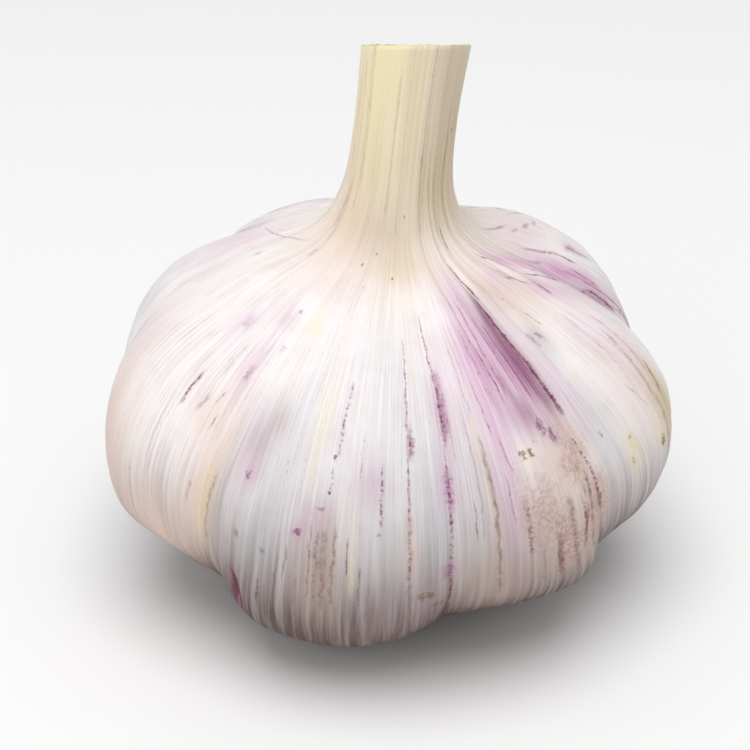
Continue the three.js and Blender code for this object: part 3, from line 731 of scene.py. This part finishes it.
class Wiring:
    """Places nodes in one node tree and joins them."""

    def __init__(self, tree):
        self.tree = tree

    def add(self, kind, **settings):
        node = self.tree.nodes.new(kind)
        for name, value in settings.items():
            setattr(node, name, value)
        return node

    def feed(self, socket, value):
        if isinstance(value, bpy.types.NodeSocket):
            self.tree.links.new(value, socket)
        elif value is not None:
            socket.default_value = value

    def fill(self, node, **inputs):
        """Feeds a node's inputs by name, and gives its outputs."""
        for name, value in inputs.items():
            self.feed(node.inputs[name.replace("_", " ")], value)
        return node.outputs

    def math(self, operation, *values, clamp=False):
        node = self.add("ShaderNodeMath", operation=operation, use_clamp=clamp)
        for socket, value in zip(node.inputs, values):
            self.feed(socket, value)
        return node.outputs[0]

    def times(self, first, second, clamp=False):
        return self.math("MULTIPLY", first, second, clamp=clamp)

    def scaled(self, value, factor, plus):
        return self.math("MULTIPLY_ADD", value, factor, plus)

    def mix(self, share, first, second):
        node = self.add("ShaderNodeMix", data_type="RGBA")
        self.feed(node.inputs[0], share)
        for socket, colour in zip(node.inputs[6:8], (first, second)):
            self.feed(socket, colour if isinstance(colour, bpy.types.NodeSocket) else (*colour, 1.0))
        return node.outputs[2]

    def ramp(self, value, low, high):
        node = self.add("ShaderNodeMapRange", interpolation_type="SMOOTHSTEP")
        for socket, fed in zip(node.inputs, (value, low, high)):
            self.feed(socket, fed)
        return node.outputs[0]

    def noise(self, vector, scale, detail, roughness=0.5):
        node = self.add("ShaderNodeTexNoise")
        return self.fill(node, Vector=vector, Scale=scale, Detail=detail, Roughness=roughness)[0]

    def vector(self, operation, first, second=None, **named):
        node = self.add("ShaderNodeVectorMath", operation=operation)
        self.feed(node.inputs[0], first)
        self.feed(node.inputs[1], second)
        return self.fill(node, **named)["Value" if operation == "LENGTH" else "Vector"]

    def parts(self, vector):
        return self.fill(self.add("ShaderNodeSeparateXYZ"), Vector=vector)

    def attribute(self, name, output="Fac"):
        return self.add("ShaderNodeAttribute", attribute_name=name).outputs[output]

    def position(self):
        return self.add("ShaderNodeTexCoord").outputs["Object"]

    def group(self, tree, **inputs):
        return self.fill(self.add("ShaderNodeGroup", node_tree=tree), **inputs)

    def bump(self, height, strength, distance, normal=None):
        node = self.add("ShaderNodeBump")
        return self.fill(node, Strength=strength, Distance=distance, Height=height, Normal=normal)[0]


NUMBER = "NodeSocketFloat"
VECTOR = "NodeSocketVector"


def new_group(name, inputs, outputs):
    """An empty shader node group with named sockets, its wiring, and its two ends."""
    tree = bpy.data.node_groups.new(name, "ShaderNodeTree")
    for socket, kind in inputs.items():
        tree.interface.new_socket(socket, in_out="INPUT", socket_type=kind)
    for socket in outputs:
        tree.interface.new_socket(socket, in_out="OUTPUT", socket_type=NUMBER)
    wiring = Wiring(tree)
    given = wiring.add("NodeGroupInput").outputs
    made = wiring.add("NodeGroupOutput").inputs
    return tree, wiring, given, made


def fibres_group():
    """Long fibres that run up the skins, from 0 to 1."""
    inputs = {"Growth": VECTOR, "Around": NUMBER, "Along": NUMBER}
    tree, wiring, given, made = new_group("Fibres", inputs, ("Fibre", "Hair"))
    scale = wiring.add("ShaderNodeCombineXYZ")
    wiring.fill(scale, X=given["Around"], Y=given["Around"], Z=given["Along"])
    vector = wiring.vector("MULTIPLY", given["Growth"], scale.outputs[0])
    coarse = wiring.noise(vector, 1.0, 3.0, 0.6)
    fine = wiring.noise(vector, 3.1, 2.0, 0.6)
    wiring.feed(made["Fibre"], wiring.ramp(coarse, 0.3, 0.7))
    wiring.feed(made["Hair"], wiring.ramp(fine, 0.35, 0.65))
    return tree


def grain_group():
    """Fine specks and cloudy mottling of a dry surface, from 0 to 1."""
    inputs = {"Position": VECTOR, "Fineness": NUMBER}
    tree, wiring, given, made = new_group("Dry grain", inputs, ("Speck", "Mottle"))
    vector = wiring.vector("SCALE", given["Position"], Scale=given["Fineness"])
    speck = wiring.noise(vector, 1.0, 3.0, 0.65)
    mottle = wiring.noise(vector, 0.22, 3.0, 0.6)
    wiring.feed(made["Speck"], wiring.ramp(speck, 0.42, 0.6))
    wiring.feed(made["Mottle"], wiring.ramp(mottle, 0.35, 0.65))
    return tree


def shader(material):
    return material.node_tree.nodes["Principled BSDF"]


def new_material(name):
    material = bpy.data.materials.new(name)
    material.use_nodes = True
    return material, Wiring(material.node_tree)


def stronger(wiring, inks, others):
    return others if inks is None else wiring.vector("MAXIMUM", inks, others)


def streak_marks(wiring, dashes, grit):
    """Each ink's streaks on the skins, by name."""
    strongest = None
    straw = 0.0
    for number in range(STREAK_BANKS):
        line = wiring.parts(wiring.attribute(f"line_{number}", "Vector"))
        ragged = wiring.scaled(grit, 0.5, wiring.math("ABSOLUTE", line[0]))
        across = wiring.ramp(ragged, 1.45, 0.4)
        gaps = wiring.scaled(line[1], wiring.math("SUBTRACT", dashes, 1.0), 1.0)
        mark = wiring.times(across, gaps)
        inks = wiring.vector("SCALE", wiring.attribute(f"ink_{number}", "Vector"), Scale=mark)
        strongest = stronger(wiring, strongest, inks)
        straw = wiring.math("MAXIMUM", straw, wiring.times(mark, line[2]))
    return dict(zip(INKS, (*wiring.parts(strongest), straw)))


def spot_marks(wiring, grit):
    """Each ink's spots on the skins, by name."""
    strongest = None
    for number in range(SPOT_BANKS):
        reach = wiring.vector("LENGTH", wiring.attribute(f"spot_{number}", "Vector"))
        mark = wiring.ramp(wiring.scaled(grit, 0.85, reach), 1.6, 0.5)
        inks = wiring.vector("SCALE", wiring.attribute(f"spot_ink_{number}", "Vector"), Scale=mark)
        strongest = stronger(wiring, strongest, inks)
    return dict(zip(SPOT_INKS, wiring.parts(strongest)))


def plain_paper(wiring, colours, fibres, veins, clouds):
    """White paper with creamy veins, bluish grey places that are partly painted shade on the front
    faces, and fine grey fibres.
    """
    paper = wiring.mix(wiring.times(veins["Fibre"], 0.5), colours.paper, colours.cream)
    # Bluish grey zone: partly the skin's own tint, partly painted shade on the front faces
    uneven = wiring.scaled(fibres["Fibre"], 0.3, 0.85)
    cool_and_shade = wiring.times(wiring.attribute("zone_cool_and_shade"), uneven, clamp=True)
    paper = wiring.mix(cool_and_shade, paper, colours.cool_and_shade)
    shade = wiring.times(fibres["Hair"], wiring.scaled(clouds["Mottle"], 0.3, 0.1))
    return wiring.mix(shade, paper, colours.vein)


def soiled_and_shaded_paper(wiring, colours, paper, low, fibres, veins):
    """Paper with a brown tint that deepens towards the base: partly dirt, partly painted shade of the
    underside.
    """
    streaky = wiring.scaled(fibres["Fibre"], 0.2, 0.74)
    streaky = wiring.scaled(veins["Hair"], 0.24, streaky)
    return wiring.mix(wiring.times(low, streaky, clamp=True), paper, colours.soil_and_shade)


def zoned_paper(wiring, colours, paper, fibres, veins, grain, clouds):
    """Paper with the soft zones of colour, each made uneven by fibres or clouds. The grey-brown and
    greyish mauve zones are partly painted shade.
    """
    for zone, source, change in (
        ("peach", fibres["Fibre"], 0.5),
        ("straw", fibres["Fibre"], 0.5),
        ("taupe_and_shade", fibres["Fibre"], 0.5),
        ("mauve_and_shade", veins["Hair"], 0.5),
        ("stain", clouds["Mottle"], 0.5),
        ("lilac", veins["Hair"], 0.4),
        ("plum", fibres["Fibre"], 0.25),
    ):
        uneven = wiring.scaled(source, change, 0.93 - change / 2)
        strength = wiring.times(wiring.attribute(f"zone_{zone}"), uneven, clamp=True)
        paper = wiring.mix(strength, paper, getattr(colours, zone))
    specked = wiring.times(wiring.times(wiring.attribute("zone_stain"), grain["Speck"]), 0.6)
    return wiring.mix(wiring.times(specked, clouds["Mottle"]), paper, colours.brown)


def skin_material(colours, fibres_tree, grain_tree):
    """Dry papery skin: satin white with fibres, zones of colour, streaks and specks."""
    material, wiring = new_material("papery_skin")
    growth = wiring.attribute("growth", "Vector")
    rise = wiring.parts(growth)[2]
    position = wiring.position()
    fibres = wiring.group(fibres_tree, Growth=growth, Around=46.0, Along=0.03)
    veins = wiring.group(fibres_tree, Growth=growth, Around=17.0, Along=0.02)
    grain = wiring.group(grain_tree, Position=position, Fineness=2300.0)
    clouds = wiring.group(grain_tree, Position=position, Fineness=700.0)
    gritty = wiring.noise(wiring.vector("SCALE", position, Scale=6500.0), 1.0, 1.0)
    grit = wiring.ramp(gritty, 0.35, 0.65)
    dashed = wiring.noise(wiring.vector("MULTIPLY", growth, (52.0, 52.0, 2.6)), 1.0, 2.0)
    dashes = wiring.ramp(dashed, 0.44, 0.6)

    paper = plain_paper(wiring, colours, fibres, veins, clouds)
    # Share of brown towards the base: partly dirt, partly painted shade of the underside
    low = wiring.ramp(wiring.scaled(veins["Fibre"], 2.5, rise), 54.0, 30.5)
    paper = soiled_and_shaded_paper(wiring, colours, paper, low, fibres, veins)
    paper = zoned_paper(wiring, colours, paper, fibres, veins, grain, clouds)
    marks = {**streak_marks(wiring, dashes, grit), **spot_marks(wiring, grain["Speck"])}
    for ink, colour in (
        ("straw", colours.straw_vein),
        ("brown", colours.brown),
        ("purple", colours.purple),
        ("grey", colours.grey),
        ("plum", colours.plum),
        ("dark", colours.ink),
        ("olive", colours.olive),
    ):
        paper = wiring.mix(marks[ink], paper, colour)

    rough = wiring.scaled(fibres["Fibre"], 0.16, 0.44)
    coarse = wiring.bump(veins["Fibre"], strength=0.28, distance=0.00012)
    fine = wiring.bump(fibres["Hair"], strength=0.25, distance=0.00005, normal=coarse)
    cloudy = wiring.bump(clouds["Mottle"], strength=0.15, distance=0.00012, normal=fine)
    wiring.fill(
        shader(material),
        Base_Color=paper,
        Roughness=wiring.scaled(low, 0.18, rough),
        Normal=cloudy,
        Specular_IOR_Level=0.28,
        Subsurface_Weight=0.06,
        Subsurface_Scale=0.001,
        Subsurface_Radius=(1.0, 0.8, 0.7),
    )
    return material


def cut_material(colours, fibres_tree, grain_tree):
    """Cut end of the neck: packed dry layers in rings."""
    material, wiring = new_material("cut_neck")
    cut = wiring.attribute("cut")
    growth = wiring.attribute("growth", "Vector")
    grain = wiring.group(grain_tree, Position=wiring.position(), Fineness=2600.0)
    waves = wiring.noise(wiring.vector("MULTIPLY", growth, (1.7, 1.7, 0.1)), 1.0, 1.5)
    wander = wiring.scaled(waves, 0.3, cut)
    gap = wiring.ramp(wiring.math("SINE", wiring.times(wander, 56.0)), -0.15, -1.0)
    fibres = wiring.group(fibres_tree, Growth=growth, Around=9.0, Along=0.1)
    broken = wiring.scaled(fibres["Fibre"], 0.75, 0.25)
    layer = wiring.scaled(wiring.times(gap, broken), -1.0, 1.0)
    pith = wiring.ramp(cut, 0.47, 0.40)
    layer = wiring.math("MAXIMUM", layer, pith)
    colour = wiring.mix(layer, colours.cut_dark, colours.straw)
    colour = wiring.mix(wiring.times(pith, grain["Mottle"]), colour, colours.cream)
    ridges = wiring.bump(layer, strength=0.5, distance=0.00015)
    wiring.fill(
        shader(material),
        Base_Color=wiring.mix(wiring.times(grain["Speck"], 0.35), colour, colours.cut_dark),
        Roughness=wiring.scaled(grain["Speck"], 0.15, 0.72),
        Normal=wiring.bump(grain["Speck"], strength=0.4, distance=0.0001, normal=ridges),
    )
    return material


def root_material(colours, grain_tree):
    """Corky root plate and dry trimmed roots."""
    material, wiring = new_material("corky_root")
    position = wiring.position()
    coarse = wiring.group(grain_tree, Position=position, Fineness=900.0)
    fine = wiring.group(grain_tree, Position=position, Fineness=3200.0)
    colour = wiring.mix(coarse["Mottle"], colours.root_light, colours.root_dark)
    pits = wiring.bump(coarse["Speck"], strength=0.6, distance=0.0003)
    wiring.fill(
        shader(material),
        Base_Color=wiring.mix(wiring.times(fine["Speck"], 0.55), colour, colours.olive),
        Roughness=wiring.scaled(fine["Speck"], 0.12, 0.8),
        Normal=wiring.bump(fine["Speck"], strength=0.5, distance=0.0001, normal=pits),
    )
    return material


def shared_groups():
    """The node groups that more than one material uses, made once."""
    made = bpy.data.node_groups
    fibres = made.get("Fibres") or fibres_group()
    grain = made.get("Dry grain") or grain_group()
    return fibres, grain


def colour_property(name, description, *screen_colour):
    return FloatVectorProperty(
        name=name,
        description=description,
        default=linear(*screen_colour),
        subtype="COLOR",
        size=3,
        min=0,
        max=1,
    )


def number_property(name, description, default, lowest, highest, **more):
    return FloatProperty(
        name=name, description=description, default=default, min=lowest, max=highest, **more
    )


def count_property(name, description, default, lowest, highest):
    return IntProperty(
        name=name, description=description, default=default, min=lowest, max=highest
    )


class GarlicForm(bpy.types.PropertyGroup):
    """Sizes of what the looks add to the solid."""

    columns_per_clove: count_property(
        "Columns per clove", "How finely each clove is divided round", 54, 12, 60
    )
    row_spacing: number_property(
        "Row spacing", "Step between rows, in points of the side line", 0.047, 0.02, 0.5
    )
    vein_height: number_property(
        "Vein height", "How far veins stand out, in millimetres", 0.08, 0, 0.4
    )
    unevenness: number_property(
        "Unevenness", "Broad unevenness of the skins, in millimetres", 0.12, 0, 0.5
    )
    fold_height: number_property(
        "Fold height", "Folds gathered under the neck, in millimetres", 0.26, 0, 0.8
    )
    root_count: count_property("Roots", "Trimmed roots on the root plate", 46, 8, 80)
    root_length: number_property(
        "Root length", "Length of a trimmed root", 0.0026, 0, 0.004, unit="LENGTH"
    )


class GarlicColours(bpy.types.PropertyGroup):
    """Colours of the skins, the cut neck and the root plate."""

    paper: colour_property("Paper", "White outer skin", 248, 243, 245)
    cream: colour_property("Cream", "Creamy parts of the skin", 246, 240, 231)
    # Bluish grey, partly the skin's own tint and partly painted shade on the front faces
    cool_and_shade: colour_property("Cool", "Bluish white, thinner skin", 204, 205, 210)
    vein: colour_property("Vein", "Fine grey fibres", 184, 168, 170)
    peach: colour_property("Peach", "Warm tint low on the lobes", 232, 204, 190)
    straw: colour_property("Straw", "Yellowish dry neck", 246, 231, 186)
    straw_vein: colour_property("Straw vein", "Yellow-green veins", 228, 216, 176)
    # Grey-brown, partly the neck's own colour and partly painted shade on its right side, in the creases
    # and at the neck's foot
    taupe_and_shade: colour_property("Taupe", "Grey-brown side of the neck", 204, 184, 146)
    stain: colour_property("Stain", "Pinkish beige stain", 218, 186, 173)
    # Greyish mauve, partly the skin's own tint and partly painted shade beside the creases and low on
    # the lobes
    mauve_and_shade: colour_property("Mauve", "Greyish mauve shade", 170, 148, 152)
    lilac: colour_property("Lilac", "Lilac zones", 201, 145, 184)
    plum: colour_property("Plum", "Deep purple zones", 134, 66, 108)
    purple: colour_property("Purple", "Bright purple streaks", 148, 66, 120)
    brown: colour_property("Brown", "Dry brown veins", 116, 84, 75)
    grey: colour_property("Grey", "Soft grey spots", 126, 112, 116)
    ink: colour_property("Ink", "Darkest streaks", 104, 22, 68)
    olive: colour_property("Olive", "Dark specks", 104, 78, 10)
    # Brown of the base, partly dirt and partly painted shade of the underside
    soil_and_shade: colour_property("Soil", "Brown tint of the base", 92, 73, 66)
    cut_dark: colour_property("Cut dark", "Gaps between cut layers", 158, 134, 102)
    root_light: colour_property("Root light", "Light cork", 176, 148, 112)
    root_dark: colour_property("Root dark", "Dark cork", 112, 84, 58)


class GarlicStage(bpy.types.PropertyGroup):
    """Camera, floor and lights."""

    lens: number_property("Lens", "Focal length in millimetres", 85, 20, 200)
    distance: number_property("Distance", "Camera to target", 0.196, 0, 2, unit="LENGTH")
    elevation: number_property(
        "Elevation", "Camera angle above the horizon", math.radians(28), 0, math.pi / 2, subtype="ANGLE"
    )
    top_power: number_property("Top light", "Power of the overhead softbox", 9.2, 0, 100)
    front_power: number_property("Front light", "Power of the front softbox", 0.3, 0, 100)
    sky: number_property("Sky", "Strength of the white surroundings", 0.5, 0, 10)
    floor: colour_property("Floor", "Plain pale floor", 244, 244, 244)


class OBJECT_OT_garlic_skins(bpy.types.Operator):
    """Build the papery skins, the lobes and the cut neck"""

    bl_idname = "object.garlic_skins"
    bl_label = "Garlic skins"

    def execute(self, context):
        form = context.scene.garlic_form
        columns = form.columns_per_clove * len(CLOVES)
        sheet = spun_line([(1, 0, row) for row in range(len(skin_rows(form)[0]))], columns)
        turn, rise, cut = shape_skins(sheet, form, columns)
        growth = np.stack([np.cos(np.radians(turn)), np.sin(np.radians(turn)), rise], axis=1)
        growth_layer = sheet.verts.layers.float_vector.new("growth")
        cut_layer = sheet.verts.layers.float.new("cut")
        for vertex, grown, share in zip(sheet.verts, growth.tolist(), cut.tolist()):
            vertex[growth_layer] = grown
            vertex[cut_layer] = share
        close_up(sheet)
        for face in sheet.faces:
            face.material_index = int(min(v[cut_layer] for v in face.verts) < CUT_EDGE)
        mesh = mesh_of(sheet, "garlic_skins")
        self.store_colour_layers(mesh)
        colours = context.scene.garlic_colours
        materials = [make(colours, *shared_groups()) for make in (skin_material, cut_material)]
        finished_piece("garlic_skins", mesh, "bulb", materials)
        return {"FINISHED"}

    def store_colour_layers(self, mesh):
        kept = np.empty(len(mesh.vertices) * 3, np.float32)
        mesh.attributes["growth"].data.foreach_get("vector", kept)
        cosine, sine, rise = kept.reshape(-1, 3).astype(float).T
        turn = np.degrees(np.arctan2(sine, cosine)) % 360
        for zone, patches in ZONES.items():
            store(mesh, f"zone_{zone}", zone_strength(patches, turn, rise))
        for name, values in mark_layers(turn, rise).items():
            store(mesh, name, values)


def corky_disc():
    """The disc that the roots grow from, with an uneven rim."""
    disc = spun_line([(r * MM, 0, z * MM) for r, z in PLATE_LINE], PLATE_STEPS)
    close_up(disc)
    for vertex in disc.verts:
        turn = math.degrees(math.atan2(vertex.co.y, vertex.co.x))
        radius = math.hypot(vertex.co.x, vertex.co.y)
        wave = float(ribbing(np.array([turn]), RIM_WAVES, seed=21)[0])
        rim = min(1.0, radius / (RIM_RADIUS * MM)) ** 3
        vertex.co.x *= 1 + RIM_WAVE * wave * rim
        vertex.co.y *= 1 + RIM_WAVE * wave * rim
        if 0.3 * MM < vertex.co.z:
            vertex.co.z -= 0.05 * MM * (1 + wave)
    return disc


def trimmed_root(index, form, draw):
    """One bent, trimmed root, its base sunk in the disc."""
    root = bmesh.new()
    radius = draw.uniform(*ROOT_RADIUS) * MM
    length = form.root_length * draw.uniform(*ROOT_LENGTHS)
    bmesh.ops.create_cone(
        root, cap_ends=True, segments=7, radius1=radius, radius2=radius * ROOT_TAPER, depth=length
    )
    long_edges = [e for e in root.edges if abs(e.verts[0].co.z - e.verts[1].co.z) > length / 2]
    bmesh.ops.subdivide_edges(root, edges=long_edges, cuts=4)
    turn = 2 * math.pi * index / form.root_count + draw.uniform(*ROOT_TURN)
    start, height, bend, dip = (
        draw.uniform(*ends) * MM for ends in (ROOT_START, ROOT_HEIGHT, ROOT_BEND, ROOT_DIP)
    )
    for vertex in root.verts:
        along = vertex.co.z / length + 0.5
        out = start + along * length
        side = vertex.co.x + bend * along**2
        up = vertex.co.y + height - dip * along**2
        vertex.co = (out, side, max(up, ROOT_FLOOR * MM))
    bmesh.ops.rotate(root, verts=root.verts, cent=(0, 0, 0), matrix=Matrix.Rotation(turn, 3, "Z"))
    return root


def add_shape(whole, part):
    """Puts one shape into another."""
    mesh = mesh_of(part, "part")
    whole.from_mesh(mesh)
    bpy.data.meshes.remove(mesh)


class OBJECT_OT_garlic_roots(bpy.types.Operator):
    """Build the corky root plate with its trimmed roots"""

    bl_idname = "object.garlic_roots"
    bl_label = "Garlic root plate"

    def execute(self, context):
        form = context.scene.garlic_form
        disc = corky_disc()
        draw = np.random.default_rng(17)
        for index in range(form.root_count):
            add_shape(disc, trimmed_root(index, form, draw))
        bmesh.ops.recalc_face_normals(disc, faces=disc.faces)
        materials = [root_material(context.scene.garlic_colours, shared_groups()[1])]
        mesh = mesh_of(disc, "garlic_root_plate")
        finished_piece("garlic_root_plate", mesh, "root_plate", materials)
        return {"FINISHED"}


def aim(thing, at):
    thing.rotation_mode = "QUATERNION"
    thing.rotation_quaternion = (at - thing.location).to_track_quat("-Z", "Y")


def softbox(name, power, size, place, at):
    light = bpy.data.lights.new(name, "AREA")
    light.energy = power
    light.shape = "DISK"
    light.size = size
    lamp = placed(name, light)
    lamp.location = place
    aim(lamp, at)


class OBJECT_OT_garlic_stage(bpy.types.Operator):
    """Set up the floor, the lights and the camera"""

    bl_idname = "object.garlic_stage"
    bl_label = "Garlic stage"

    def execute(self, context):
        setting = context.scene.garlic_stage
        self.lay_floor(setting)
        middle = Vector(LIT_POINT)
        softbox("softbox_top", setting.top_power, size=1.0, place=(-0.04, -0.3, 1.15), at=middle)
        softbox("softbox_front", setting.front_power, size=0.4, place=(-0.28, -0.42, 0.28), at=middle)
        world = bpy.data.worlds.new("white_surroundings")
        world.use_nodes = True
        background = world.node_tree.nodes["Background"]
        background.inputs["Color"].default_value = (1, 1, 1, 1)
        background.inputs["Strength"].default_value = setting.sky
        context.scene.world = world
        context.scene.view_settings.view_transform = "Standard"
        self.set_camera(context.scene, setting)
        return {"FINISHED"}

    def set_camera(self, scene, setting):
        target = Vector(CAMERA_TARGET) * MM
        back = Vector((0, -math.cos(setting.elevation), math.sin(setting.elevation)))
        lens = bpy.data.cameras.new("camera")
        lens.lens = setting.lens
        lens.sensor_width = SENSOR_WIDTH
        lens.clip_start = 0.01
        camera = placed("camera", lens)
        camera.location = target + back * setting.distance
        aim(camera, target)
        scene.camera = camera

    def lay_floor(self, setting):
        floor = bmesh.new()
        bmesh.ops.create_circle(floor, cap_ends=True, segments=64, radius=FLOOR_RADIUS)
        mesh = mesh_of(floor, "floor")
        material, wiring = new_material("floor")
        faint = wiring.times(wiring.noise(wiring.position(), 60.0, 3.0), 0.02)
        colour = wiring.mix(faint, setting.floor, (0.7, 0.7, 0.7))
        wiring.fill(shader(material), Base_Color=colour, Roughness=0.9)
        mesh.materials.append(material)
        piece = placed("floor", mesh)


class VIEW3D_PT_garlic(bpy.types.Panel):
    """Sidebar panel of the garlic bulb"""

    bl_label = "Garlic bulb"
    bl_space_type = "VIEW_3D"
    bl_region_type = "UI"
    bl_category = "Garlic"

    def draw(self, context):
        for operator in OPERATORS:
            self.layout.operator(operator.bl_idname)
        for name in SETTINGS:
            settings = getattr(context.scene, name)
            box = self.layout.box()
            for value in settings.bl_rna.properties.keys():
                if value not in ("rna_type", "name"):
                    box.prop(settings, value)


SETTINGS = {"garlic_form": GarlicForm, "garlic_colours": GarlicColours, "garlic_stage": GarlicStage}
OPERATORS = (OBJECT_OT_garlic_skins, OBJECT_OT_garlic_roots, OBJECT_OT_garlic_stage)


def register():
    for kind in (*SETTINGS.values(), *OPERATORS, VIEW3D_PT_garlic):
        bpy.utils.register_class(kind)
    for name, kind in SETTINGS.items():
        setattr(bpy.types.Scene, name, PointerProperty(type=kind))


def unregister():
    for name in SETTINGS:
        delattr(bpy.types.Scene, name)
    for kind in (VIEW3D_PT_garlic, *OPERATORS, *SETTINGS.values()):
        bpy.utils.unregister_class(kind)


def main():
    register()
    bpy.ops.object.garlic_skins()
    bpy.ops.object.garlic_roots()
    bpy.ops.object.garlic_stage()
    bpy.context.view_layer.update()


if __name__ == "__main__":
    main()
